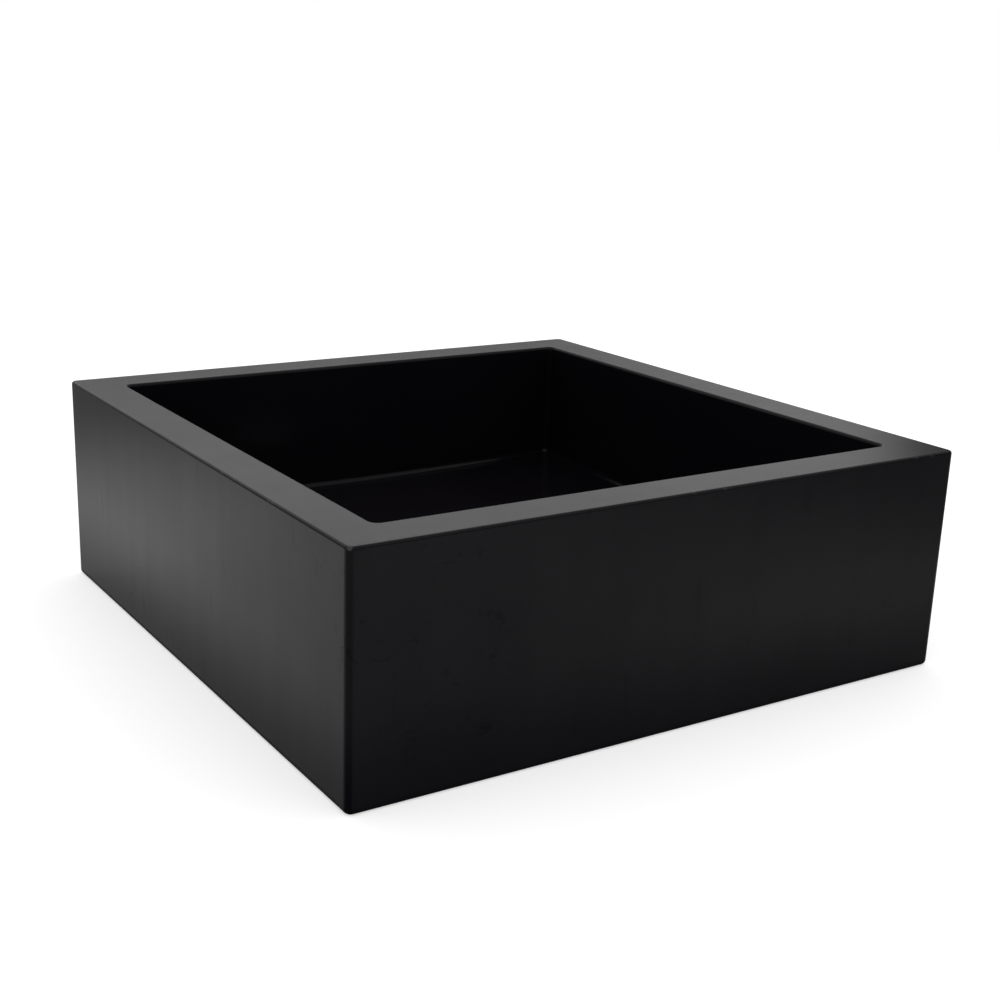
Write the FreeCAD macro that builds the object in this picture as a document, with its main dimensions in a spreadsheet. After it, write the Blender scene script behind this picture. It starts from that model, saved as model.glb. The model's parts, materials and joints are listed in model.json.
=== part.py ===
import FreeCAD, Part
import math
import os
import re
import Sketcher

# Square countertop basin with a push-open waste, each piece a solid of its own, in millimetres.
# The origin is the middle of the foot, on the counter; +Z is up, -Y is the front, and the waste's
# axis is the Z axis. The plug is drawn open, lifted by its spring.

SIZES = {
    # Basin casting
    "basin_width": 400,  # left to right
    "basin_depth": 400,  # front to back
    "basin_height": 135,
    "corner_radius": 4.2,  # upright outside edges
    "foot_edge_radius": 3,
    "rim_width": 28.5,
    "rim_edge_radius": 1.6,
    "mouth_edge_radius": 2,
    "bowl_draft": 1,  # degrees
    "bowl_corner_radius": 4.2,
    "cove_radius": 3.5,  # between the bowl's walls and floor
    "floor_height": 41,  # bowl's floor at the waste, over the counter
    "floor_fall": 2.9,  # degrees
    "seat_floor": 12,  # casting left under the flange
    "base_wall": 26,  # wall round the hollow base
    "recess_corner_radius": 12,
    "recess_fillet": 6,
    # Waste, its seals and its nut
    "tail_diameter": 41.91,  # over the pipe thread
    "tail_wall": 3.4,
    "tail_free_thread": 9,  # left below the nut for the trap
    "tail_lead": 0.8,  # chamfer at the tail's end
    "relief_width": 1.2,  # thread relief under the nut
    "relief_depth": 0.6,
    "hole_clearance": 2,
    "flange_overlap": 10,  # flange past the hole's edge
    "flange_thickness": 2.5,
    "flange_edge_radius": 1,
    "flange_clearance": 1,
    "gasket_thickness": 1.5,
    "gasket_margin": 1,
    "throat_step": 1.05,  # throat over the tail's bore
    "throat_depth": 6.7,
    "throat_lead": 1.2,
    "basin_washer_thickness": 4.5,
    "basin_washer_overlap": 8,
    "basin_washer_taper": 2,
    "friction_washer_thickness": 1.5,
    "back_nut_flange": 2,
    "back_nut_hexagon": 6,
    "back_nut_wall": 3,
    "nut_chamfer": 1.2,
    "nut_chamfer_slope": 30,  # degrees
    # Spider in the tail
    "hub_wall": 3,
    "hub_height": 6,
    "hub_inset": 2,  # hub above the tail's end
    "arm_width": 3,
    "arm_height": 5,
    # Push-open cartridge
    "press_travel": 9.5,
    "latch_drop": 1.5,  # plug's rise from the end of a press to its latch
    "link_half_angle": 10,  # degrees, latch to the top of each groove leg
    "spindle_diameter": 8.8,
    "spindle_wall": 0.9,  # round the spring's bore
    "shoulder_height": 2,
    "drum_wall": 2.5,
    "groove_depth": 1.5,
    "groove_edge": 1.1,  # drum's wall past the groove's ends
    "pin_diameter": 1.6,
    "groove_clearance": 0.35,
    "pin_tip_gap": 0.25,
    "sleeve_wall": 1.9,
    "sleeve_floor": 2,
    "sleeve_tail": 1,  # sleeve below the hub
    "sleeve_collar": 1.5,  # out from the sleeve, and its height
    "cartridge_washer_thickness": 1,
    "gland_spigot": 2,
    "gland_head": 2.5,
    "retainer_height": 1.5,
    "retainer_wall": 1.95,
    "spring_wire": 0.7,
    "spring_length": 22,
    # Plug
    "stud_diameter": 6,
    "stud_in_plunger": 5,
    "stud_in_cap": 3.5,
    "jam_nut_height": 3,
    "jam_nut_flats": 10,
    "cap_edge": 4,  # thickness at the rim
    "cap_dome": 2,
    "cap_edge_radius": 1.5,
    "cap_gap": 0.6,  # over the flange at the end of a press
    "skirt_depth": 6.5,
    "skirt_wall": 2.4,
    "skirt_clearance": 1.2,
    "seal_section": 2.1,
    "seal_gap": 0.3,  # seal to throat, unsqueezed
    "seal_rise": 2.5,  # middle of the seal above the skirt's end
    # Clearances
    "fit_clearance": 0.05,  # round seats and threads
    "running_clearance": 0.1,  # turning and sliding fits
    "slide_clearance": 0.2,
    "end_play": 0.1,
    "bottom_clearance": 0.5,  # plunger over the sleeve's floor at the end of a press
    "press_clearance": 1.3,  # jam nut over the gland at the end of a press
    "spring_clearance": 0.2,
    "spring_end_gap": 0.05,
    "overcut": 1,  # how far a cut runs past the face that it opens
}

SPIDER_ARMS = 4
GROOVE_SECTORS = 3
SPRING_TURNS = 9
ARCS_PER_TURN = 4
GAP_POINTS_PER_TURN = 48
LEAST_SPRING_GAP = 0.4
TOLERANCE = 0.001

# Each derived radius and level, worked out from the sizes; levels count up from the counter
DERIVED = {
    "tail_radius": "tail_diameter / 2",
    "bore_radius": "tail_radius - tail_wall",
    "throat_radius": "bore_radius + throat_step",
    "hole_radius": "tail_radius + hole_clearance",
    "flange_radius": "hole_radius + flange_overlap",
    "seat_radius": "flange_radius + flange_clearance",
    "washer_bore": "tail_radius + slide_clearance",
    "basin_washer_radius": "hole_radius + basin_washer_overlap",
    "friction_washer_radius": "basin_washer_radius - basin_washer_taper",
    "spindle_radius": "spindle_diameter / 2",
    "spring_bore": "spindle_radius - spindle_wall",
    "drum_bore": "spindle_radius + running_clearance",
    "drum_radius": "drum_bore + drum_wall",
    "groove_floor": "drum_radius - groove_depth",
    "groove_half": "pin_diameter / 2 + groove_clearance",
    "groove_radius": "(drum_radius + groove_floor + pin_tip_gap) / 2",
    "sleeve_bore": "drum_radius + running_clearance",
    "sleeve_radius": "sleeve_bore + sleeve_wall",
    "hub_bore": "sleeve_radius + fit_clearance",
    "hub_radius": "hub_bore + hub_wall",
    "collar_radius": "sleeve_radius + sleeve_collar",
    "neck_bore": "spindle_radius + running_clearance",
    "stud_radius": "stud_diameter / 2",
    "stud_bore": "stud_radius + fit_clearance",
    "skirt_radius": "throat_radius - skirt_clearance",
    "seal_groove": "throat_radius - seal_gap - seal_section - fit_clearance",
    "seat_level": "floor_height - flange_thickness - gasket_thickness",
    "under_level": "seat_level - seat_floor",
    "friction_level": "under_level - basin_washer_thickness - friction_washer_thickness",
    "back_nut_level": "friction_level - back_nut_flange - back_nut_hexagon",
    "cap_level": "floor_height + cap_gap + press_travel",
    "plunger_top": "cap_level - jam_nut_height",
    "gland_top": "floor_height + cap_gap - jam_nut_height - press_clearance",
    "sleeve_top": "gland_top - gland_head",
    "gland_level": "sleeve_top - gland_spigot",
    "shoulder_level": "gland_level - end_play - shoulder_height",
    "drum_height": "press_travel + 2 * (groove_half + groove_edge)",
    "drum_level": "shoulder_level - end_play - drum_height",
    "plunger_level": "drum_level - end_play - retainer_height",
    "spring_level": "plunger_level - press_travel - bottom_clearance",
    "sleeve_level": "spring_level - sleeve_floor",
    "hub_level": "sleeve_level + sleeve_tail",
    "hub_top": "hub_level + hub_height",
    "collar_level": "hub_top + cartridge_washer_thickness",
    "groove_start": "groove_edge + groove_half",
    "leg_half_angle": f"(180 / {GROOVE_SECTORS} - link_half_angle) / 2",
    "leg_reach": "groove_radius * sin(leg_half_angle)",
    "tail_level": "min(back_nut_level - tail_free_thread; hub_level - hub_inset)",
}

os.makedirs("parts", exist_ok=True)
doc = FreeCAD.newDocument("countertop_basin")
sheet = doc.addObject("Spreadsheet::Sheet", "sizes")
for row, (alias, value) in enumerate(SIZES.items(), start=1):
    sheet.set(f"A{row}", alias)
    sheet.set(f"B{row}", str(value))
    sheet.setAlias(f"B{row}", alias)
doc.recompute()


def bind(text):
    """Spell an expression out: a derived name becomes its formula and a size becomes its cell."""

    def spell(match):
        name = match.group(0)
        if name in DERIVED:
            return f"({bind(DERIVED[name])})"
        return f"sizes.{name}" if name in SIZES else name

    return re.sub(r"[A-Za-z_]\w*", spell, text)


def number(text):
    """Value of an expression in the sheet."""
    return float(sheet.evalExpression(bind(text)))


def new_body(label, level=None):
    """Empty body, drawn from its own base and placed at a level over the counter."""
    body = doc.addObject("PartDesign::Body", label)
    body.Label = label
    if level:
        body.setExpression("Placement.Base.z", bind(level))
    return body


def new_sketch(body, name, role, level=None, turn=None):
    """Sketch on one of the body's own planes, lifted along its normal or turned about upright Z."""
    sketch = body.newObject("Sketcher::SketchObject", f"{body.Label}_{name}")
    plane = next(item for item in body.Origin.OriginFeatures if item.Role == role)
    sketch.AttachmentSupport = [(plane, "")]
    sketch.MapMode = "FlatFace"
    if level:
        sketch.setExpression("AttachmentOffset.Base.z", bind(level))
    if turn:
        upright = FreeCAD.Rotation(FreeCAD.Vector(0, 1, 0), number(turn))
        sketch.AttachmentOffset = FreeCAD.Placement(FreeCAD.Vector(), upright)
        sketch.setExpression("AttachmentOffset.Rotation.Angle", bind(turn))
    return sketch


def put_on_axis(sketch, point, name):
    """Put a sketch point on one of the sketch's own axes."""
    axis = {"H_Axis": -1, "V_Axis": -2}[name]
    sketch.addConstraint(Sketcher.Constraint("PointOnObject", *point, axis))


def hold(sketch, point, across, up):
    """Tie a sketch point to its two expressions, measured from the sketch's origin."""
    origin = (-1, 1)
    for kind, text, axis in (("DistanceX", across, "V_Axis"), ("DistanceY", up, "H_Axis")):
        if text == "0":
            put_on_axis(sketch, point, axis)
            continue
        index = sketch.addConstraint(Sketcher.Constraint(kind, *origin, *point, number(text)))
        sketch.setExpression(f"Constraints[{index}]", bind(text))


def outline(sketch, points, domed=None):
    """Closed outline through points given as pairs of expressions.

    The stretch numbered domed is an arc with its centre on the upright axis, the rest are straight.
    """
    places = [FreeCAD.Vector(number(across), number(up), 0) for across, up in points]
    for index, start in enumerate(places):
        end = places[(index + 1) % len(places)]
        if index == domed:
            chord = end - start
            radius = chord.Length**2 / (2 * abs(chord.y))
            middle = FreeCAD.Vector(0, max(start.y, end.y) - radius, 0)
            angles = sorted(math.atan2(place.y - middle.y, place.x) for place in (start, end))
            dome = Part.Circle(middle, FreeCAD.Vector(0, 0, 1), radius)
            sketch.addGeometry(Part.ArcOfCircle(dome, *angles))
        else:
            sketch.addGeometry(Part.LineSegment(start, end))
    for index in range(len(points)):
        follower = (index + 1) % len(points)
        leaving = 1 if index == domed else 2
        arriving = 2 if follower == domed else 1
        sketch.addConstraint(Sketcher.Constraint("Coincident", index, leaving, follower, arriving))
        hold(sketch, (follower, arriving), *points[follower])
    if domed is not None:
        put_on_axis(sketch, (domed, 3), "V_Axis")
    return sketch


def rectangle(sketch, width, height):
    """Outline of a rectangle about the sketch's origin."""
    right = f"({width}) / 2"
    top = f"({height}) / 2"
    return outline(sketch, [(f"-{right}", f"-{top}"), (right, f"-{top}"), (right, top), (f"-{right}", top)])


def circle(sketch, radius, across="0", up="0"):
    """Circle with its radius and middle tied to expressions."""
    middle = FreeCAD.Vector(number(across), number(up), 0)
    sketch.addGeometry(Part.Circle(middle, FreeCAD.Vector(0, 0, 1), number(radius)))
    hold(sketch, (0, 3), across, up)
    index = sketch.addConstraint(Sketcher.Constraint("Radius", 0, number(radius)))
    sketch.setExpression(f"Constraints[{index}]", bind(radius))
    return sketch


def hexagon(sketch, flats):
    """Regular hexagon about the sketch's origin, with two flats upright."""
    half = f"({flats}) / 2"
    low = f"({flats}) / (2 * sqrt(3))"
    high = f"({flats}) / sqrt(3)"
    corners = [
        (half, f"-{low}"),
        (half, low),
        ("0", high),
        (f"-{half}", low),
        (f"-{half}", f"-{low}"),
        ("0", f"-{high}"),
    ]
    return outline(sketch, corners)


def feature(body, kind, name, sketch, length=None, reverse=False, taper=None):
    """Pad, pocket, revolution or groove from a sketch; the round ones turn about the Z axis."""
    made = body.newObject(f"PartDesign::{kind}", f"{body.Label}_{name}")
    made.Profile = sketch
    if kind in ("Revolution", "Groove"):
        made.ReferenceAxis = (sketch, ["V_Axis"])
        made.Angle = 360
    else:
        made.setExpression("Length", bind(length))
        made.Reversed = reverse
    if taper:
        made.setExpression("TaperAngle", bind(taper))
    doc.recompute()
    return made


def fillet(body, name, radius, chosen):
    """Round the edges of the body so far for which chosen says yes."""
    base = body.Tip
    edges = [f"Edge{index}" for index, edge in enumerate(base.Shape.Edges, start=1) if chosen(edge)]
    made = body.newObject("PartDesign::Fillet", f"{body.Label}_{name}")
    made.Base = (base, edges)
    made.setExpression("Radius", bind(radius))
    doc.recompute()
    return made


def repeat(body, name, features, count):
    """Copies of some features, spaced evenly about the Z axis over a full turn."""
    made = body.newObject("PartDesign::PolarPattern", f"{body.Label}_{name}")
    made.Originals = features
    axis = next(item for item in body.Origin.OriginFeatures if item.Role == "Z_Axis")
    made.Axis = (axis, [""])
    made.Angle = 360
    made.Occurrences = count
    body.Tip = made
    doc.recompute()
    return made


def turned(label, level, points, domed=None):
    """Body turned about the Z axis from a half section."""
    body = new_body(label, level)
    section = outline(new_sketch(body, "section", "XZ_Plane"), points, domed)
    feature(body, "Revolution", "turning", section)
    return body


def ring(label, level, inner, outer, height):
    """Plain flat ring."""
    return turned(label, level, [(inner, "0"), (outer, "0"), (outer, height), (inner, height)])


def upright(edge):
    """Whether an edge runs mostly up and down."""
    box = edge.BoundBox
    return box.ZLength > max(box.XLength, box.YLength)


def at_level(edge, text):
    """Whether an edge lies flat at a level."""
    level = number(text)
    return abs(edge.BoundBox.ZMin - level) < TOLERANCE and abs(edge.BoundBox.ZMax - level) < TOLERANCE


def within(edge, width, depth):
    """Whether an edge lies inside a rectangle about the Z axis."""
    box = edge.BoundBox
    across = max(-box.XMin, box.XMax)
    along = max(-box.YMin, box.YMax)
    return across < number(width) / 2 + TOLERANCE and along < number(depth) / 2 + TOLERANCE


def bowl_core():
    """The bowl's hollow as a solid: drafted walls, and a coved floor that falls to the waste."""
    core = new_body("bowl_core")
    mouth = new_sketch(core, "mouth", "XY_Plane", "basin_height")
    rectangle(mouth, "basin_width - 2 * rim_width", "basin_depth - 2 * rim_width")
    depth = "basin_height - floor_height + overcut"
    feature(core, "Pad", "walls", mouth, depth, reverse=True, taper="-bowl_draft")
    fillet(core, "corners", "bowl_corner_radius", upright)
    reach = "(basin_width + basin_depth) / 2"
    below = [
        ("0", "floor_height - 2 * overcut"),
        (reach, "floor_height - 2 * overcut"),
        (reach, f"floor_height + ({reach} - seat_radius) * tan(floor_fall)"),
        ("seat_radius", "floor_height"),
        ("0", "floor_height"),
    ]
    feature(core, "Groove", "floor", outline(new_sketch(core, "below", "XZ_Plane"), below))
    lowest = number("floor_height") + TOLERANCE
    halfway = number("(floor_height + basin_height) / 2")
    fillet(
        core,
        "cove",
        "cove_radius",
        lambda edge: lowest < edge.BoundBox.ZMin and edge.BoundBox.ZMax < halfway,
    )
    return core


def basin_body():
    """The casting: a block with eased edges, its bowl, its hollow base and the waste's hole and seat."""
    body = new_body("basin_body")
    foot = rectangle(new_sketch(body, "foot", "XY_Plane"), "basin_width", "basin_depth")
    feature(body, "Pad", "block", foot, "basin_height")
    fillet(body, "corners", "corner_radius", upright)
    fillet(body, "foot_edge", "foot_edge_radius", lambda edge: at_level(edge, "0"))
    fillet(body, "rim_outside", "rim_edge_radius", lambda edge: at_level(edge, "basin_height"))
    core = bowl_core()
    bowl = body.newObject("PartDesign::Boolean", "basin_body_bowl")
    bowl.Type = "Cut"
    bowl.setObjects([core])
    doc.recompute()
    mouth = ("basin_width - 2 * rim_width", "basin_depth - 2 * rim_width")
    fillet(
        body,
        "rim_inside",
        "mouth_edge_radius",
        lambda edge: at_level(edge, "basin_height") and within(edge, *mouth),
    )
    hollow = ("basin_width - 2 * base_wall", "basin_depth - 2 * base_wall")
    recess = rectangle(new_sketch(body, "recess", "XY_Plane"), *hollow)
    feature(body, "Pocket", "hollow", recess, "under_level", reverse=True)
    roof = number("under_level") + TOLERANCE
    fillet(
        body,
        "hollow_corners",
        "recess_corner_radius",
        lambda edge: upright(edge) and edge.BoundBox.ZMax < roof and within(edge, *hollow),
    )
    fillet(body, "hollow_roof", "recess_fillet", lambda edge: at_level(edge, "under_level"))
    seat = circle(new_sketch(body, "seat", "XY_Plane", "seat_level"), "seat_radius")
    feature(body, "Pocket", "flange_seat", seat, "floor_height - seat_level + overcut", reverse=True)
    hole = circle(new_sketch(body, "hole", "XY_Plane", "under_level - overcut"), "hole_radius")
    feature(body, "Pocket", "waste_hole", hole, "seat_floor + 2 * overcut", reverse=True)
    return body


def waste_body():
    """Flange, throat and threaded tail in one turning, with a spider across the tail."""
    flange_low = "floor_height - flange_thickness"
    throat_low = "floor_height - throat_depth"
    body = turned(
        "waste_body",
        None,
        [
            ("bore_radius", "tail_level"),
            ("tail_radius - tail_lead", "tail_level"),
            ("tail_radius", "tail_level + tail_lead"),
            ("tail_radius", "back_nut_level - relief_width"),
            ("tail_radius - relief_depth", "back_nut_level - relief_width"),
            ("tail_radius - relief_depth", "back_nut_level"),
            ("tail_radius", "back_nut_level"),
            ("tail_radius", flange_low),
            ("flange_radius", flange_low),
            ("flange_radius", "floor_height"),
            ("throat_radius + throat_lead", "floor_height"),
            ("throat_radius", "floor_height - throat_lead"),
            ("throat_radius", throat_low),
            ("bore_radius", f"{throat_low} - throat_step"),
        ],
    )
    outer = number("flange_radius") - TOLERANCE
    fillet(
        body,
        "flange_edge",
        "flange_edge_radius",
        lambda edge: at_level(edge, "floor_height") and edge.BoundBox.XMax > outer,
    )
    reach = "bore_radius + tail_wall / 2"
    side = "arm_width / 2"
    bar = new_sketch(body, "bar", "XY_Plane", "hub_level")
    outline(bar, [("0", f"-{side}"), (reach, f"-{side}"), (reach, side), ("0", side)])
    arm = feature(body, "Pad", "arm", bar, "arm_height")
    repeat(body, "spider", [arm], SPIDER_ARMS)
    hub = circle(new_sketch(body, "hub", "XY_Plane", "hub_level"), "hub_radius")
    feature(body, "Pad", "boss", hub, "hub_height")
    thread = circle(new_sketch(body, "thread", "XY_Plane", "hub_level - overcut"), "hub_bore")
    feature(body, "Pocket", "cartridge_thread", thread, "hub_height + 2 * overcut", reverse=True)
    return body


def basin_washer():
    """Rubber washer, wide against the basin and tapering to the slip washer."""
    height = "basin_washer_thickness"
    section = [
        ("washer_bore", "0"),
        ("friction_washer_radius", "0"),
        ("basin_washer_radius", f"{height} - basin_washer_taper"),
        ("basin_washer_radius", height),
        ("washer_bore", height),
    ]
    return turned("basin_washer", "friction_level + friction_washer_thickness", section)


def nut(label, level, flats, height, bore):
    """Hexagon nut, its corners chamfered at the lower face."""
    body = new_body(label, level)
    feature(body, "Pad", "hexagon", hexagon(new_sketch(body, "flats", "XY_Plane"), flats), height)
    corner = f"({flats}) / sqrt(3)"
    chamfer = [
        (f"{corner} - nut_chamfer", "0"),
        (f"{corner} + overcut", "0"),
        (f"{corner} + overcut", "(nut_chamfer + overcut) * tan(nut_chamfer_slope)"),
    ]
    feature(body, "Groove", "chamfer", outline(new_sketch(body, "corner", "XZ_Plane"), chamfer))
    hole = circle(new_sketch(body, "hole", "XY_Plane"), bore)
    feature(body, "Pocket", "thread", hole, f"2 * ({height})", reverse=True)
    return body


def back_nut():
    """Clamping nut with a round flange over its hexagon."""
    body = nut(
        "back_nut",
        "back_nut_level",
        "2 * (tail_radius + back_nut_wall)",
        "back_nut_hexagon",
        "tail_radius + running_clearance",
    )
    rim = new_sketch(body, "rim", "XZ_Plane")
    section = [
        ("tail_radius + running_clearance", "back_nut_hexagon"),
        ("friction_washer_radius - gasket_margin", "back_nut_hexagon"),
        ("friction_washer_radius - gasket_margin", "back_nut_hexagon + back_nut_flange"),
        ("tail_radius + running_clearance", "back_nut_hexagon + back_nut_flange"),
    ]
    feature(body, "Revolution", "flange", outline(rim, section))
    return body


def cartridge_sleeve():
    """Barrel with a floor for the spring, a collar, and a cross hole for the guide pin."""
    top = "sleeve_top - sleeve_level"
    collar = "collar_level - sleeve_level"
    body = turned(
        "cartridge_sleeve",
        "sleeve_level",
        [
            ("0", "0"),
            ("sleeve_radius", "0"),
            ("sleeve_radius", collar),
            ("collar_radius", collar),
            ("collar_radius", f"{collar} + sleeve_collar"),
            ("sleeve_radius", f"{collar} + sleeve_collar"),
            ("sleeve_radius", top),
            ("sleeve_bore", top),
            ("sleeve_bore", "sleeve_floor"),
            ("0", "sleeve_floor"),
        ],
    )
    cross = new_sketch(body, "cross", "YZ_Plane")
    circle(cross, "pin_diameter / 2 + fit_clearance", up="drum_level + groove_start - sleeve_level")
    feature(body, "Pocket", "pin_hole", cross, "sleeve_radius + overcut", reverse=True)
    return body


def cartridge_gland():
    """End cap of the cartridge: a spigot in the sleeve and a head over it."""
    spigot = "sleeve_bore - fit_clearance"
    height = "gland_spigot + gland_head"
    section = [
        ("neck_bore", "0"),
        (spigot, "0"),
        (spigot, "gland_spigot"),
        ("sleeve_radius", "gland_spigot"),
        ("sleeve_radius", height),
        ("neck_bore", height),
    ]
    return turned("cartridge_gland", "gland_level", section)


def guide_pin():
    """Cross pin, flush with the sleeve outside and standing in the drum's groove."""
    body = new_body("guide_pin", "drum_level + groove_start")
    end = circle(new_sketch(body, "end", "YZ_Plane", "groove_floor + pin_tip_gap"), "pin_diameter / 2")
    feature(body, "Pad", "shank", end, "sleeve_radius - groove_floor - pin_tip_gap")
    return body


def slot(body, name, turn, start, end):
    """Round-ended slot through the wall that faces a given way about Z, from one point to another."""
    sketch = new_sketch(body, name, "XZ_Plane", turn=f"90 + {turn}")
    lower, upper = (FreeCAD.Vector(number(across), number(up), 0) for across, up in (start, end))
    along = upper - lower
    half = number("groove_half")
    lean = math.atan2(along.y, along.x)
    side = FreeCAD.Vector(-along.y, along.x, 0).normalize() * half
    normal = FreeCAD.Vector(0, 0, 1)
    sketch.addGeometry(Part.LineSegment(lower - side, upper - side))
    sketch.addGeometry(Part.LineSegment(upper + side, lower + side))
    quarter = math.pi / 2
    for middle, facing in ((upper, lean), (lower, lean + math.pi)):
        round_end = Part.Circle(middle, normal, half)
        sketch.addGeometry(Part.ArcOfCircle(round_end, facing - quarter, facing + quarter))
    for line, line_end, arc, arc_end in ((0, 2, 2, 1), (1, 1, 2, 2), (1, 2, 3, 1), (0, 1, 3, 2)):
        sketch.addConstraint(Sketcher.Constraint("Tangent", line, line_end, arc, arc_end))
    hold(sketch, (2, 3), *end)
    hold(sketch, (3, 3), *start)
    index = sketch.addConstraint(Sketcher.Constraint("Radius", 2, half))
    sketch.setExpression(f"Constraints[{index}]", bind("groove_half"))
    return feature(body, "Pocket", f"{name}_cut", sketch, "drum_radius + overcut", reverse=True)


def index_drum():
    """Drum whose groove steers the guide pin: up a leg, back into a latch, then down the next leg."""
    body = ring("index_drum", "drum_level", "drum_bore", "drum_radius", "drum_height")
    top = "groove_start + press_travel"
    rising = slot(body, "rising_leg", "leg_half_angle", ("-leg_reach", "groove_start"), ("leg_reach", top))
    latch_turn = f"180 / {GROOVE_SECTORS}"
    latch = slot(body, "latch", latch_turn, ("0", f"{top} - latch_drop"), ("0", top))
    falling_turn = f"360 / {GROOVE_SECTORS} - leg_half_angle"
    falling = slot(body, "falling_leg", falling_turn, ("-leg_reach", top), ("leg_reach", "groove_start"))
    repeat(body, "sectors", [rising, latch, falling], GROOVE_SECTORS)
    floor = new_sketch(body, "floor", "XZ_Plane")
    section = [
        ("drum_bore", "0"),
        ("groove_floor", "0"),
        ("groove_floor", "drum_height"),
        ("drum_bore", "drum_height"),
    ]
    feature(body, "Revolution", "groove_floor", outline(floor, section))
    return body


def plunger():
    """Spindle with the spring in its bore, a shoulder over the drum and a neck up to the plug."""
    shoulder = "shoulder_level - plunger_level"
    crown = "spring_level + spring_length - plunger_level"
    top = "plunger_top - plunger_level"
    section = [
        ("spring_bore", "0"),
        ("spindle_radius", "0"),
        ("spindle_radius", shoulder),
        ("sleeve_bore - slide_clearance", shoulder),
        ("sleeve_bore - slide_clearance", f"{shoulder} + shoulder_height"),
        ("spindle_radius", f"{shoulder} + shoulder_height"),
        ("spindle_radius", top),
        ("stud_bore", top),
        ("stud_bore", f"{top} - stud_in_plunger"),
        ("0", f"{top} - stud_in_plunger"),
        ("0", crown),
        ("spring_bore", crown),
    ]
    return turned("plunger", "plunger_level", section)


def biarc(start, start_way, end, end_way):
    """Two arcs that join two points, tangent to a way at each and to one another where they meet."""
    span = end - start
    both = start_way + end_way
    square = 2 * (start_way.dot(end_way) - 1)
    linear = -2 * span.dot(both)
    reach = (-linear - math.sqrt(linear**2 - 4 * square * span.dot(span))) / (2 * square)
    corners = (start + start_way * reach, end - end_way * reach)
    meeting = (corners[0] + corners[1]) * 0.5
    edges = []
    for first, corner, last in ((start, corners[0], meeting), (meeting, corners[1], end)):
        chord = last - first
        middle = (first + last) * 0.5
        half_turn = math.acos(min(1.0, chord.Length / 2 / reach))
        bulge = (corner - middle).normalize() * (chord.Length / 2 * math.tan(half_turn / 2))
        edges.append(Part.Arc(first, middle + bulge, last).toShape())
    return edges


def return_spring():
    """Open-wound spring between the sleeve's floor and the plunger's crown, one unbroken wire."""
    wire = number("spring_wire") / 2
    coil = number("spring_bore - spring_clearance") - wire
    height = number("spring_length - 2 * spring_end_gap - spring_wire")
    rise = height / (2 * math.pi * SPRING_TURNS)
    base = wire + number("spring_end_gap")

    def place(turn):
        angle = 2 * math.pi * turn
        return FreeCAD.Vector(coil * math.cos(angle), coil * math.sin(angle), base + rise * angle)

    def way(turn):
        angle = 2 * math.pi * turn
        return FreeCAD.Vector(-coil * math.sin(angle), coil * math.cos(angle), rise).normalize()

    turns = [index / ARCS_PER_TURN for index in range(SPRING_TURNS * ARCS_PER_TURN + 1)]
    edges = []
    for first, last in zip(turns, turns[1:]):
        edges += biarc(place(first), way(first), place(last), way(last))
    section = Part.Wire(Part.Circle(place(0), way(0), wire).toShape())
    shell = Part.BRepOffsetAPI.MakePipeShell(Part.Wire(edges))
    shell.add(section)
    shell.build()
    shell.makeSolid()
    spring = doc.addObject("Part::Feature", "return_spring")
    spring.Shape = shell.shape()
    spring.Placement = FreeCAD.Placement(FreeCAD.Vector(0, 0, number("spring_level")), FreeCAD.Rotation())
    points = [place(index / GAP_POINTS_PER_TURN) for index in range(SPRING_TURNS * GAP_POINTS_PER_TURN + 1)]
    half_turn = GAP_POINTS_PER_TURN // 2
    gap = min(
        first.distanceToPoint(last) - 2 * wire
        for index, first in enumerate(points)
        for last in points[index + half_turn :]
    )
    print(f"return_spring: least gap between turns {gap:.2f} mm")
    if gap < LEAST_SPRING_GAP:
        raise ValueError("return_spring: the turns are too close")
    return spring


def plug_stud():
    """Threaded stud between the plunger and the plug."""
    length = "stud_in_plunger + jam_nut_height + stud_in_cap - 2 * end_play"
    section = [("0", "0"), ("stud_radius", "0"), ("stud_radius", length), ("0", length)]
    return turned("plug_stud", "plunger_top - stud_in_plunger + end_play", section)


def plug_cap():
    """Domed plug with a skirt that enters the throat and a groove for its seal."""
    groove_low = "seal_rise - skirt_depth - seal_section / 2 - fit_clearance"
    groove_high = "seal_rise - skirt_depth + seal_section / 2 + fit_clearance"
    section = [
        ("stud_bore", "0"),
        ("stud_bore", "stud_in_cap"),
        ("0", "stud_in_cap"),
        ("0", "cap_edge + cap_dome"),
        ("flange_radius", "cap_edge"),
        ("flange_radius", "0"),
        ("skirt_radius", "0"),
        ("skirt_radius", groove_high),
        ("seal_groove", groove_high),
        ("seal_groove", groove_low),
        ("skirt_radius", groove_low),
        ("skirt_radius", "-skirt_depth"),
        ("skirt_radius - skirt_wall", "-skirt_depth"),
        ("skirt_radius - skirt_wall", "0"),
    ]
    body = turned("plug_cap", "cap_level", section, domed=3)
    edge_radius = number("flange_radius") - TOLERANCE
    edge_level = number("cap_edge") - TOLERANCE
    fillet(
        body,
        "rim",
        "cap_edge_radius",
        lambda edge: edge.BoundBox.XMax > edge_radius and edge.BoundBox.ZMin > edge_level,
    )
    return body


def plug_seal():
    """O-ring in the skirt's groove."""
    body = new_body("plug_seal", "cap_level - skirt_depth + seal_rise")
    section = new_sketch(body, "section", "XZ_Plane")
    circle(section, "seal_section / 2", across="seal_groove + fit_clearance + seal_section / 2")
    feature(body, "Revolution", "turning", section)
    return body


def flange_gasket():
    """Flat seal under the waste's flange."""
    outer = "flange_radius - gasket_margin"
    return ring("flange_gasket", "seat_level", "hole_radius", outer, "gasket_thickness")


def friction_washer():
    """Slip washer between the rubber and the nut."""
    outer = "friction_washer_radius"
    return ring("friction_washer", "friction_level", "washer_bore", outer, "friction_washer_thickness")


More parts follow.
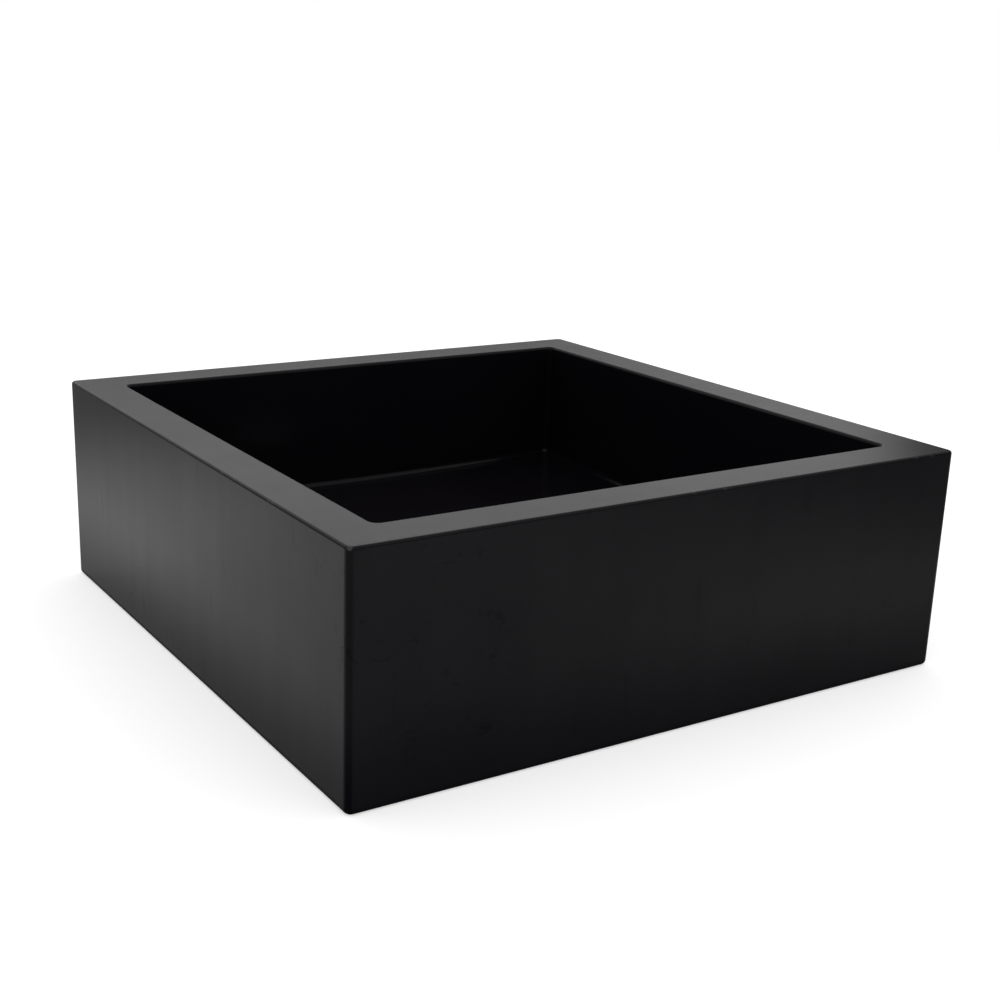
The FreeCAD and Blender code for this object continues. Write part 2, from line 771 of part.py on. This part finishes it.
def cartridge_washer():
    """Seal under the sleeve's collar."""
    return ring("cartridge_washer", "hub_top", "hub_bore", "collar_radius", "cartridge_washer_thickness")


def retaining_collar():
    """Ring at the spindle's end that keeps the drum on it."""
    inner = "spindle_radius + fit_clearance"
    outer = "spindle_radius + retainer_wall"
    return ring("retaining_collar", "plunger_level", inner, outer, "retainer_height")


PIECES = [
    basin_body(),
    flange_gasket(),
    waste_body(),
    basin_washer(),
    friction_washer(),
    back_nut(),
    cartridge_sleeve(),
    cartridge_washer(),
    cartridge_gland(),
    guide_pin(),
    index_drum(),
    plunger(),
    retaining_collar(),
    return_spring(),
    nut("jam_nut", "plunger_top", "jam_nut_flats", "jam_nut_height", "stud_bore"),
    plug_stud(),
    plug_cap(),
    plug_seal(),
]

doc.recompute()
failed = [item.Name for item in doc.Objects if {"Invalid", "Error"} & set(item.State)]
if failed:
    raise ValueError(f"failed to rebuild: {', '.join(failed)}")
for piece in PIECES:
    if piece.Shape.isNull() or not piece.Shape.isValid() or not piece.Shape.Solids:
        raise ValueError(f"{piece.Label}: no valid solid")
for piece in PIECES:
    piece.Shape.exportStep(f"parts/{piece.Label}.step")
print(f"{len(PIECES)} pieces written")
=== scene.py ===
import json
import math

import bmesh
import bpy
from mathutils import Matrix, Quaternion, Vector


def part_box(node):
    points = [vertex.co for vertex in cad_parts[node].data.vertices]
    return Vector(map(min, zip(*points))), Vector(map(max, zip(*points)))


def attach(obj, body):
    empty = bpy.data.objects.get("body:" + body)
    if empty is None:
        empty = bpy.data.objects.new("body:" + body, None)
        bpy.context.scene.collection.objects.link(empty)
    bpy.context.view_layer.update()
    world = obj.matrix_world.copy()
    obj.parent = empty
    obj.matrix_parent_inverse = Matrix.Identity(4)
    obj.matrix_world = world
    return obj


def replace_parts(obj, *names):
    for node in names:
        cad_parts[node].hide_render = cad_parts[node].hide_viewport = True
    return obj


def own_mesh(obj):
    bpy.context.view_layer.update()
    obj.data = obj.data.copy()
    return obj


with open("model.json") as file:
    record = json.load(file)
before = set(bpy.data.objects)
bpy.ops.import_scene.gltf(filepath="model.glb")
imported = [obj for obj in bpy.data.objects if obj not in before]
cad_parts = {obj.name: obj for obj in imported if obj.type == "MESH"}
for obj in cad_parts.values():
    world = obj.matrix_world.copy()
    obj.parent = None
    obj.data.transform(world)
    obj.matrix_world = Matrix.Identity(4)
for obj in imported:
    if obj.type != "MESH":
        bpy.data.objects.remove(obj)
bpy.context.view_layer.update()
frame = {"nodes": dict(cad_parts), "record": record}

# Square countertop basin with a push-open waste, in metres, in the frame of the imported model:
# +Z up along the waste's axis, -Y towards the front, the origin on the counter.

BASIN_LOW, BASIN_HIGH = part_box("basin_body")
HALF_WIDTH = BASIN_HIGH.x
RIM_LEVEL = BASIN_HIGH.z
SMOOTH_ANGLE = math.radians(32)

# Finish of the casting: each pair is where an effect is gone and where it is full
SKIN_REACH = (0.006, 0.003)
CHIP_REACH = (0.0016, 0.0009)
# Painted highlight: a lighter colour at the top corners stands in for a glint
TIP_REACH = (0.0045, 0.0037)
# Painted shade: less coat along the upright edges darkens their reflection
EDGE_REACH = (0.0034, 0.0026)
# Painted shade: no coat on the foot rounding makes a dark line along the bottom edge
FOOT_REACH = (0.005, 0.001)
# Painted shade: less coat low down darkens the reflection towards the bottom
BOTTOM_SHADE_RISE = (0.0, 0.07)
RUB_REACH = (0.075, 0.03)
RUBBED_SPOT = (-0.145, BASIN_LOW.y, 0.068)

# Waste body, as radii and heights over the counter
WASTE_LOW, WASTE_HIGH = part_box("waste_body")
FLANGE_RADIUS = WASTE_HIGH.x
FLANGE_THICKNESS = 0.0025
FLANGE_LOW = WASTE_HIGH.z - FLANGE_THICKNESS
FLANGE_EDGE = 0.001
TAIL_RADIUS = 0.020955
BORE_RADIUS = 0.017555
THROAT_RADIUS = 0.018605
THROAT_DEPTH = 0.0067
THROAT_LOW = WASTE_HIGH.z - THROAT_DEPTH
THROAT_LEAD = 0.0012
WASTE_STEPS = 128
THREAD_PITCH = 0.002309
THREAD_ROOT = 0.019476
THREAD_TOP = 0.0192
THREAD_CHAMFER = 0.0004
THREAD_CREST = 0.0003
THREAD_SINK = 0.0002
THREAD_GAP = 0.0001
THREAD_STEPS = 48
HUB_LOW = 0.004
HUB_HEIGHT = 0.006
HUB_BORE = 0.00905
HUB_RADIUS = 0.01205
HUB_CHAMFER = 0.0004
HUB_STEPS = 64
ARM_COUNT = 4
ARM_SIZE = (0.0068, 0.003, 0.005)
ARM_SINK = 0.0004

# Spring of round wire
SPRING_LOW, SPRING_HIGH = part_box("return_spring")
SPRING_WIRE = 0.00035
SPRING_TURNS = 9
SPRING_STEPS = 32
WIRE_SIDES = 14

# Camera, fitted to the edges of the block
CAMERA_AZIMUTH = math.radians(-32.18)
CAMERA_ELEVATION = math.radians(16.834)
CAMERA_ROLL = 0.0282
CAMERA_DISTANCE = 0.9796
CAMERA_AIM = Vector((0.0064, 0.0348, 0.06))
CAMERA_SENSOR = 36.0
CAMERA_LENS = 1.4786 * CAMERA_SENSOR
CAMERA_SHIFT = (0.03981, 0.01211)

# Sky: what is seen, what lights the basin, and what the basin mirrors. A strength of 1 is white.
# Pairs are where a change starts and ends: a direction's Z for tops and foot, its X for the others.
SKY_SEEN = 1.0
SKY_FILL = 0.9
SKY_DIP = 0.82
BAND_TOP = (0.25, 0.21)
BAND_DROP = 0.025
BAND_DROP_X = (0.50, 0.70)
BAND_FOOT = (0.14, 0.06)
BAND_FOOT_SHARE = 0.5
GAP_TOP = (0.70, 0.50)
GAP_START = (0.722, 0.745)
GAP_END = (0.84, 0.90)
GAP_DEPTH = 1.15

# Floor, and the pool of light on it as the basin mirrors it
FLOOR_HALF = 6.0
FLOOR_COLOUR = 0.8
FLOOR_CLOUD = 0.02
FLOOR_GLOW = 0.46
MIRROR_GLOW = 0.31
POOL_MIDDLE = (-0.40, -0.30, 0.0)
POOL_REACH = (0.53, 1.02)
POOL_LEAST = 0.29


class Value:
    """A socket of a finish: arithmetic on it adds Math nodes."""

    def __init__(self, finish, socket):
        self.finish = finish
        self.socket = socket

    def math(self, operation, first, second=0.0):
        return self.finish.node("ShaderNodeMath", {"operation": operation}, {0: first, 1: second})

    def __add__(self, other):
        return self.math("ADD", self, other)

    def __sub__(self, other):
        return self.math("SUBTRACT", self, other)

    def __rsub__(self, other):
        return self.math("SUBTRACT", other, self)

    def __mul__(self, other):
        return self.math("MULTIPLY", self, other)

    def __abs__(self):
        return self.math("ABSOLUTE", self)

    __radd__ = __add__
    __rmul__ = __mul__


class Finish:
    """A procedural finish: node() adds any node, and the other methods name common uses of it."""

    def __init__(self, name, tree_owner=None):
        self.owner = tree_owner or bpy.data.materials.new(name)
        self.owner.use_nodes = True
        self.tree = self.owner.node_tree
        self.tree.nodes.clear()

    def node(self, kind, settings=None, inputs=None, out=0):
        """Add a node: its settings first, then its sockets' values or links."""
        made = self.tree.nodes.new(kind)
        for name, value in (settings or {}).items():
            setattr(made, name, value)
        for name, value in (inputs or {}).items():
            if isinstance(value, Value):
                self.tree.links.new(value.socket, made.inputs[name])
            else:
                made.inputs[name].default_value = value
        return Value(self, made.outputs[out]) if made.outputs else None

    def place(self):
        """Where a point of the piece is, in metres."""
        return self.node("ShaderNodeTexCoord", out="Object")

    def axes(self, place):
        """The three coordinates of a place."""
        split = self.node("ShaderNodeSeparateXYZ", None, {0: place}).socket.node
        return [Value(self, socket) for socket in split.outputs]

    def stretched(self, place, scale):
        """Coordinates stretched by a scale along each axis."""
        return self.node("ShaderNodeMapping", None, {"Vector": place, "Scale": scale})

    def noise(self, place, scale, detail=2.0, distortion=0.0):
        """Cloudy values round 0.5, with features about one over the scale wide."""
        inputs = {"Vector": place, "Scale": scale, "Detail": detail, "Distortion": distortion}
        return self.node("ShaderNodeTexNoise", None, inputs)

    def cells(self, place, scale):
        """Distance to the nearest of scattered points, in cell sizes."""
        return self.node("ShaderNodeTexVoronoi", None, {"Vector": place, "Scale": scale})

    def ease(self, value, low, high):
        """0 below low, 1 above high and smooth between; low may be the larger one."""
        inputs = {"Value": value, "From Min": low, "From Max": high}
        return self.node("ShaderNodeMapRange", {"interpolation_type": "SMOOTHSTEP"}, inputs)

    def least(self, first, second):
        return self.node("ShaderNodeMath", {"operation": "MINIMUM"}, {0: first, 1: second})

    def distance(self, place, spot):
        settings = {"operation": "DISTANCE"}
        return self.node("ShaderNodeVectorMath", settings, {0: place, 1: spot}, out="Value")

    def blend(self, share, first, second):
        """Colour between two colours."""
        settings = {"data_type": "RGBA"}
        return self.node("ShaderNodeMix", settings, {0: share, 6: first, 7: second}, out=2)

    def bump(self, height, depth):
        """Normal of a height from 0 to 1 that stands for a depth in metres."""
        inputs = {"Strength": 1.0, "Distance": depth, "Height": height}
        return self.node("ShaderNodeBump", None, inputs)

    def surface(self, **sockets):
        """End the finish in a shader, its sockets named with underscores for spaces."""
        inputs = {name.replace("_", " "): value for name, value in sockets.items()}
        shader = self.node("ShaderNodeBsdfPrincipled", None, inputs)
        self.node("ShaderNodeOutputMaterial", None, {"Surface": shader})
        return self.owner


def grey(level):
    return (level, level, level, 1.0)


def cast_black():
    """Satin black casting: a cloudy, wiped, scratched seal coat; less coat towards the bottom, on upright
    edges and at the foot is painted shade, and a lighter colour at the top corners is a painted glint.
    """
    finish = Finish("cast_black")
    place = finish.place()
    across, along, up = finish.axes(place)
    in_across = HALF_WIDTH - abs(across)
    in_along = HALF_WIDTH - abs(along)
    nearest = finish.least(in_across, in_along)
    outside = finish.ease(nearest, *SKIN_REACH)
    cloud = finish.noise(place, 9.0, detail=3.0)
    streak = finish.noise(finish.stretched(place, (60.0, 60.0, 5.0)), 1.0, detail=3.0)
    smear = finish.noise(finish.stretched(place, (150.0, 150.0, 22.0)), 1.0, detail=2.0)
    grain = finish.noise(place, 1400.0, detail=1.0)
    waver = finish.noise(place, 45.0, detail=2.0, distortion=1.4)
    broken = finish.ease(finish.noise(place, 80.0), 0.50, 0.60)
    hair = finish.ease(abs(waver - 0.5), 0.026, 0.004) * broken
    rubbed = finish.ease(finish.distance(place, RUBBED_SPOT), *RUB_REACH) * outside
    patch = finish.ease(finish.noise(place, 8.0), 0.56, 0.66)
    marks = hair * finish.least(rubbed + 0.6 * patch * outside, 1.0)
    wiped = finish.ease(smear, 0.64, 0.78) * outside
    # Painted shade along the upright edges, where coat is taken off
    upright = finish.ease(in_across + in_along, *EDGE_REACH)
    below = RIM_LEVEL - up
    knocked = finish.ease(finish.noise(place, 85.0), 0.60, 0.72)
    chips = finish.ease(below + nearest, *CHIP_REACH) * knocked
    # Painted highlight: a glint at the top corners, broken up by noise
    glint_breakup = finish.ease(finish.noise(place, 420.0), 0.36, 0.56)
    tip_glint = finish.ease(below + in_across + in_along, *TIP_REACH) * glint_breakup
    shade = finish.blend(cloud, (0.0028, 0.0022, 0.0032, 1.0), (0.0042, 0.0034, 0.0047, 1.0))
    # Painted shade: coat weight falls towards the bottom of the block
    shade_towards_bottom = 0.36 + 0.64 * finish.ease(up, *BOTTOM_SHADE_RISE)
    # Coat weight: real cloudy and streaky variation, times the painted shade towards the bottom
    coat_and_bottom_shade = shade_towards_bottom * (0.70 + 0.28 * cloud + 0.24 * streak)
    # Coat taken off: scuffs, wipes and a rubbed patch are real marks; the upright edges are painted shade
    coat_marks_and_edge_shade = 0.26 * marks + 0.16 * wiped + 0.40 * upright + 0.14 * rubbed
    # Painted shade: no coat and a rougher surface on the foot rounding, a dark line along the bottom edge
    foot = finish.ease(up, *FOOT_REACH)
    return finish.surface(
        # Lighter colour: rim chips are wear, the glint at the top corners is a painted highlight
        Base_Color=finish.blend(chips * 0.35 + tip_glint * 0.9, shade, grey(0.06)),
        Roughness=0.09 + 0.10 * cloud + 0.10 * streak + 0.05 * grain + 0.10 * marks + 0.4 * foot,
        IOR=1.05,
        # Coat weight carries painted shade towards the bottom, on the upright edges and at the foot
        Coat_Weight=(coat_and_bottom_shade - coat_marks_and_edge_shade) * (1.0 - foot),
        Coat_Roughness=0.19,
        Coat_IOR=1.19,
        Normal=finish.bump(grain * 0.5 + streak * 0.3, 0.00006),
    )


def chrome_plate():
    """Polished chrome with faint wiping marks and dried water spots."""
    finish = Finish("chrome_plate")
    place = finish.place()
    smear = finish.noise(finish.stretched(place, (30.0, 90.0, 60.0)), 1.0, detail=3.0)
    splashed = finish.ease(finish.noise(place, 45.0), 0.5, 0.65)
    spots = finish.ease(finish.cells(place, 160.0), 0.16, 0.1) * splashed
    shade = finish.blend(smear, (0.60, 0.61, 0.63, 1.0), (0.70, 0.71, 0.72, 1.0))
    return finish.surface(
        Base_Color=finish.blend(spots * 0.5, shade, grey(0.52)),
        Metallic=1.0,
        Roughness=0.05 + 0.07 * smear + 0.15 * spots,
        Normal=finish.bump(smear, 0.00002),
    )


def brass():
    """Turned brass, dulled in patches, with fine tool marks round it."""
    finish = Finish("brass")
    place = finish.place()
    tarnish = finish.noise(place, 130.0, detail=4.0)
    tool = finish.noise(finish.stretched(place, (12.0, 12.0, 5200.0)), 1.0, detail=1.0)
    shade = finish.blend(tarnish, (0.60, 0.40, 0.17, 1.0), (0.80, 0.60, 0.30, 1.0))
    return finish.surface(
        Base_Color=shade,
        Metallic=1.0,
        Roughness=0.22 + 0.14 * tarnish + 0.10 * tool,
        Normal=finish.bump(tool, 0.00003),
    )


def black_rubber():
    """Moulded black rubber with a dusty bloom."""
    finish = Finish("black_rubber")
    place = finish.place()
    bloom = finish.noise(place, 180.0, detail=4.0)
    grain = finish.noise(place, 2600.0, detail=1.0)
    return finish.surface(
        Base_Color=finish.blend(bloom, grey(0.012), grey(0.034)),
        Roughness=0.62 + 0.2 * bloom,
        Normal=finish.bump(grain, 0.00006),
    )


def white_acetal():
    """Moulded white acetal, slightly warm, with flow marks."""
    finish = Finish("white_acetal")
    place = finish.place()
    flow = finish.noise(finish.stretched(place, (60.0, 60.0, 220.0)), 1.0, detail=3.0, distortion=0.6)
    return finish.surface(
        Base_Color=finish.blend(flow, (0.72, 0.70, 0.65, 1.0), (0.82, 0.81, 0.77, 1.0)),
        Roughness=0.36 + 0.14 * flow,
        Normal=finish.bump(flow, 0.00003),
    )


def spring_steel():
    """Drawn steel wire with die lines and a slight straw tint."""
    finish = Finish("spring_steel")
    place = finish.place()
    lines = finish.noise(finish.stretched(place, (900.0, 900.0, 60.0)), 1.0, detail=2.0)
    return finish.surface(
        Base_Color=finish.blend(lines, (0.42, 0.41, 0.40, 1.0), (0.60, 0.59, 0.56, 1.0)),
        Metallic=1.0,
        Roughness=0.24 + 0.2 * lines,
        Normal=finish.bump(lines, 0.00002),
    )


FINISHES = {
    "cast_black": cast_black(),
    "chrome_plate": chrome_plate(),
    "brass": brass(),
    "black_rubber": black_rubber(),
    "white_acetal": white_acetal(),
    "spring_steel": spring_steel(),
}


def finish_nodes():
    """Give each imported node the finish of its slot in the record."""
    for row in frame["record"]["subparts"]:
        piece = frame["nodes"][row["node"]]
        piece.data.materials.clear()
        piece.data.materials.append(FINISHES[row["material_slot"]])


def add_piece(name, shape, slot):
    """Make a shape of the basin's own body into a piece, smooth but for its sharp edges."""
    bmesh.ops.remove_doubles(shape, verts=shape.verts[:], dist=1e-7)
    bmesh.ops.recalc_face_normals(shape, faces=shape.faces[:])
    for face in shape.faces:
        face.smooth = True
    for edge in shape.edges:
        edge.smooth = edge.calc_face_angle(0.0) < SMOOTH_ANGLE
    mesh = bpy.data.meshes.new(name)
    shape.to_mesh(mesh)
    shape.free()
    mesh.materials.append(FINISHES[slot])
    piece = bpy.data.objects.new(name, mesh)
    bpy.context.scene.collection.objects.link(piece)
    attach(piece, "basin")
    return piece


def turned(shape, section, steps):
    """Turn a closed section, given as radii and heights, round the Z axis."""
    corners = [shape.verts.new((radius, 0.0, height)) for radius, height in section]
    sides = [shape.edges.new(pair) for pair in zip(corners, corners[1:] + corners[:1])]
    bmesh.ops.spin(
        shape,
        geom=corners + sides,
        cent=(0.0, 0.0, 0.0),
        axis=(0.0, 0.0, 1.0),
        angle=math.tau,
        steps=steps,
        use_merge=True,
    )


def wound(shape, section, pitch, turns, steps):
    """Wind a section, given as radii and heights, round the Z axis as one bar."""
    face = shape.faces.new([shape.verts.new((radius, 0.0, height)) for radius, height in section])
    bmesh.ops.spin(
        shape,
        geom=[face, *face.edges, *face.verts],
        cent=(0.0, 0.0, 0.0),
        axis=(0.0, 0.0, 1.0),
        dvec=(0.0, 0.0, pitch / steps),
        angle=math.tau * turns,
        steps=round(turns * steps),
    )


def round_corner(centre, radius, start, end, steps=6):
    """Points of an arc in a section, from one angle to another in degrees."""
    angles = [math.radians(start + (end - start) * step / steps) for step in range(steps + 1)]
    return [(centre[0] + radius * math.cos(a), centre[1] + radius * math.sin(a)) for a in angles]


def build_waste():
    """Waste body: flange, throat and tail in one turning, with the thread cut on the tail."""
    section = [
        (BORE_RADIUS, WASTE_LOW.z),
        (THREAD_ROOT - THREAD_CHAMFER, WASTE_LOW.z),
        (THREAD_ROOT, WASTE_LOW.z + THREAD_CHAMFER),
        (THREAD_ROOT, THREAD_TOP),
        (TAIL_RADIUS, THREAD_TOP + THREAD_CHAMFER),
        (TAIL_RADIUS, FLANGE_LOW),
        (FLANGE_RADIUS, FLANGE_LOW),
        *round_corner((FLANGE_RADIUS - FLANGE_EDGE, WASTE_HIGH.z - FLANGE_EDGE), FLANGE_EDGE, 0, 90),
        (THROAT_RADIUS + THROAT_LEAD, WASTE_HIGH.z),
        (THROAT_RADIUS, WASTE_HIGH.z - THROAT_LEAD),
        (THROAT_RADIUS, THROAT_LOW),
        (BORE_RADIUS, THROAT_LOW - (THROAT_RADIUS - BORE_RADIUS)),
    ]
    shape = bmesh.new()
    turned(shape, section, WASTE_STEPS)
    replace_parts(add_piece("waste_shell", shape, "chrome_plate"), "waste_body")


def build_thread():
    """Pipe thread on the tail, from its end up through the nut."""
    start = WASTE_LOW.z + THREAD_CHAMFER
    middle = (TAIL_RADIUS - THREAD_CREST, start + THREAD_PITCH / 2)
    inside = THREAD_ROOT - THREAD_SINK
    crest = round_corner(middle, THREAD_CREST, -60, 60, 4)
    section = [(inside, start + THREAD_GAP), *crest, (inside, start + THREAD_PITCH - THREAD_GAP)]
    turns = (THREAD_TOP - start) / THREAD_PITCH - 1.0
    shape = bmesh.new()
    wound(shape, section, THREAD_PITCH, turns, THREAD_STEPS)
    add_piece("tail_thread", shape, "chrome_plate")


def build_spider():
    """Spider across the tail: a boss for the cartridge on four arms."""
    top = HUB_LOW + HUB_HEIGHT
    section = [
        (HUB_BORE, HUB_LOW),
        (HUB_RADIUS - HUB_CHAMFER, HUB_LOW),
        (HUB_RADIUS, HUB_LOW + HUB_CHAMFER),
        (HUB_RADIUS, top - HUB_CHAMFER),
        (HUB_RADIUS - HUB_CHAMFER, top),
        (HUB_BORE, top),
    ]
    shape = bmesh.new()
    turned(shape, section, HUB_STEPS)
    for index in range(ARM_COUNT):
        turn = Quaternion((0.0, 0.0, 1.0), math.tau * index / ARM_COUNT)
        arm = bmesh.ops.create_cube(shape, size=1.0)["verts"]
        bmesh.ops.scale(shape, verts=arm, vec=ARM_SIZE)
        middle = Vector((HUB_RADIUS - ARM_SINK + ARM_SIZE[0] / 2, 0.0, HUB_LOW + ARM_SIZE[2] / 2))
        bmesh.ops.translate(shape, verts=arm, vec=middle)
        bmesh.ops.rotate(shape, verts=arm, cent=(0.0, 0.0, 0.0), matrix=turn.to_matrix())
        edges = list({edge for vert in arm for edge in vert.link_edges})
        bmesh.ops.bevel(
            shape,
            geom=edges,
            offset=HUB_CHAMFER,
            offset_type="OFFSET",
            affect="EDGES",
            segments=2,
            profile=0.5,
            material=-1,
        )
    add_piece("spider", shape, "chrome_plate")


def build_spring():
    """Return spring in the plunger; the real spring shortens as the plug is pressed."""
    coil = SPRING_HIGH.x - SPRING_WIRE
    low = SPRING_LOW.z + SPRING_WIRE
    pitch = (SPRING_HIGH.z - SPRING_LOW.z - 2 * SPRING_WIRE) / SPRING_TURNS
    section = round_corner((coil, low), SPRING_WIRE, 0, 360, WIRE_SIDES)[:-1]
    shape = bmesh.new()
    wound(shape, section, pitch, SPRING_TURNS, SPRING_STEPS)
    piece = add_piece("spring_coil", shape, "spring_steel")
    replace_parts(piece, "return_spring")
    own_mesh(piece)


def seen_rays(finish):
    """Two shares: 1 for rays that are seen straight or through glass, and 1 for mirrored ones."""
    path = finish.node("ShaderNodeLightPath").socket.node
    names = ("Is Camera Ray", "Is Glossy Ray", "Is Transmission Ray")
    camera, glossy, clear = (Value(finish, path.outputs[name]) for name in names)
    return finish.least(camera + clear, 1.0), glossy


def floor_finish():
    """Pale matte floor, lifted to white where it is seen, with its shadows; mirrored, it dims away."""
    finish = Finish("floor_white")
    place = finish.place()
    cloud = finish.noise(place, 3.0)
    seen, mirrored = seen_rays(finish)
    dim = (1.0 - POOL_LEAST) * finish.ease(finish.distance(place, POOL_MIDDLE), *POOL_REACH)
    pale = finish.blend(cloud, grey(FLOOR_COLOUR), grey(FLOOR_COLOUR + FLOOR_CLOUD))
    matte = finish.node("ShaderNodeBsdfDiffuse", None, {"Color": pale})
    strength = seen * FLOOR_GLOW + mirrored * MIRROR_GLOW
    glow = finish.node("ShaderNodeEmission", None, {"Strength": strength})
    lit = finish.node("ShaderNodeAddShader", None, {0: matte, 1: glow})
    dark = finish.node("ShaderNodeBsdfDiffuse", None, {"Color": grey(0.0)})
    both = finish.node("ShaderNodeMixShader", None, {0: mirrored * dim, 1: lit, 2: dark})
    finish.node("ShaderNodeOutputMaterial", None, {"Surface": both})
    return finish.owner


def lay_floor():
    """Wide floor under the basin."""
    shape = bmesh.new()
    bmesh.ops.create_grid(shape, x_segments=1, y_segments=1, size=FLOOR_HALF)
    mesh = bpy.data.meshes.new("floor")
    shape.to_mesh(mesh)
    shape.free()
    mesh.materials.append(floor_finish())
    floor = bpy.data.objects.new("floor", mesh)
    bpy.context.scene.collection.objects.link(floor)


def light_sky():
    """White surroundings; mirrored, they have a dim band over the horizon and a dark gap to the right."""
    world = bpy.data.worlds.new("studio")
    bpy.context.scene.world = world
    sky = Finish("studio", world)
    across, _, rise = sky.axes(sky.node("ShaderNodeTexCoord", out="Generated"))
    level = rise + BAND_DROP * sky.ease(across, *BAND_DROP_X)
    band = sky.ease(level, *BAND_TOP) - BAND_FOOT_SHARE * sky.ease(rise, *BAND_FOOT)
    gap = sky.ease(rise, *GAP_TOP) * (sky.ease(across, *GAP_START) - sky.ease(across, *GAP_END))
    shown = SKY_SEEN - SKY_DIP * sky.least(band + GAP_DEPTH * gap, GAP_DEPTH)
    seen, mirrored = seen_rays(sky)
    strength = SKY_FILL + (SKY_SEEN - SKY_FILL) * seen + (shown - SKY_FILL) * mirrored
    background = sky.node("ShaderNodeBackground", None, {"Color": grey(1.0), "Strength": strength})
    sky.node("ShaderNodeOutputWorld", None, {"Surface": background})


def set_camera():
    """Camera at the photograph's angle."""
    level = math.cos(CAMERA_ELEVATION)
    back = Vector(
        (
            math.sin(CAMERA_AZIMUTH) * level,
            -math.cos(CAMERA_AZIMUTH) * level,
            math.sin(CAMERA_ELEVATION),
        )
    )
    lens = bpy.data.cameras.new("camera")
    lens.sensor_width = CAMERA_SENSOR
    lens.lens = CAMERA_LENS
    lens.shift_x, lens.shift_y = CAMERA_SHIFT
    camera = bpy.data.objects.new("camera", lens)
    camera.location = CAMERA_AIM + back * CAMERA_DISTANCE
    camera.rotation_mode = "QUATERNION"
    roll = Quaternion((0.0, 0.0, 1.0), CAMERA_ROLL)
    camera.rotation_quaternion = (-back).to_track_quat("-Z", "Y") @ roll
    bpy.context.scene.collection.objects.link(camera)
    bpy.context.scene.camera = camera


finish_nodes()
build_waste()
build_thread()
build_spider()
build_spring()
lay_floor()
light_sky()
set_camera()
bpy.context.scene.view_settings.view_transform = "Standard"
